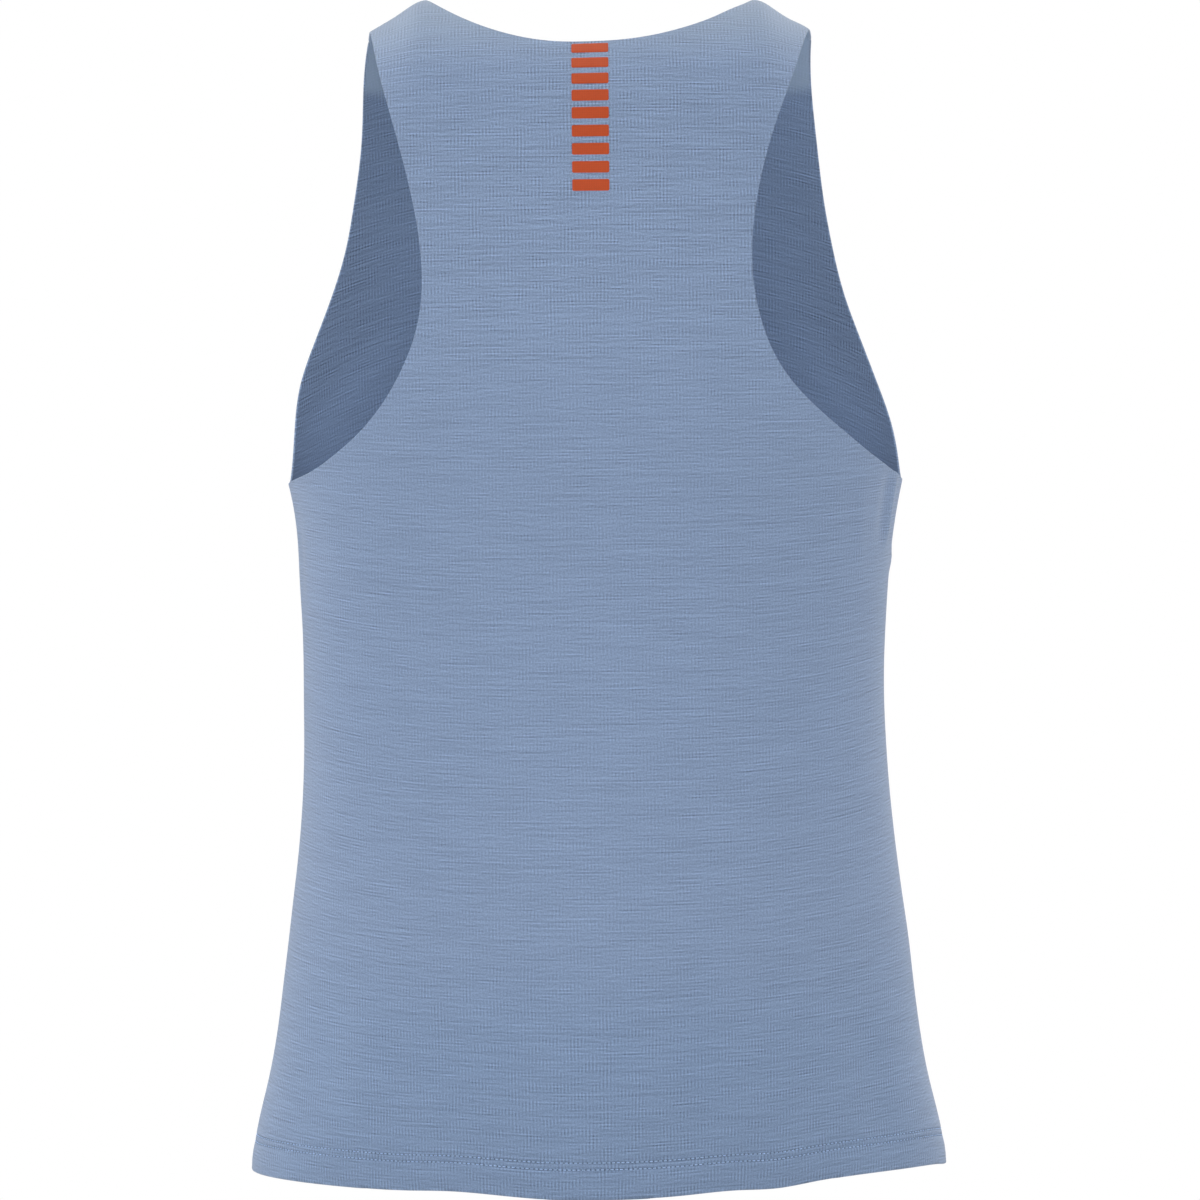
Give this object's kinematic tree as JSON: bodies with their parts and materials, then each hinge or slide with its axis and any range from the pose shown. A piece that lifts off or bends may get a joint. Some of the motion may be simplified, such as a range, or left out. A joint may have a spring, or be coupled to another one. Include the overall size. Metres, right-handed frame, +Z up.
{
  "type": "tennis tank top",
  "caption": "Sleeveless fitted knit sports top with scoop front neck, shallow back neck, cut-away armholes, a curved hem and a column of short printed bars below the back neck.",
  "frame": {"origin": "midway between the undersides of the two straps, on the shoulder line, where a wearer's shoulders or a hanger hold the top", "axes": "+Z up the body, +X towards the wearer's left, +Y out of the back. The front of the top faces -Y, and the picture's camera stands on the +Y side"},
  "size_m": [0.368, 0.234, 0.6206],
  "materials": {
    "knit": "matt heathered jersey with fine ribs and a faint sheen",
    "print": "flat matt transfer film"
  },
  "bodies": {
    "root": {"back_panel": "knit", "front_panel": "knit", "transfer_bar_1": "print", "transfer_bar_2": "print", "transfer_bar_3": "print", "transfer_bar_4": "print", "transfer_bar_5": "print", "transfer_bar_6": "print", "transfer_bar_7": "print", "transfer_bar_8": "print", "transfer_bar_9": "print"}
  },
  "joints": []
}
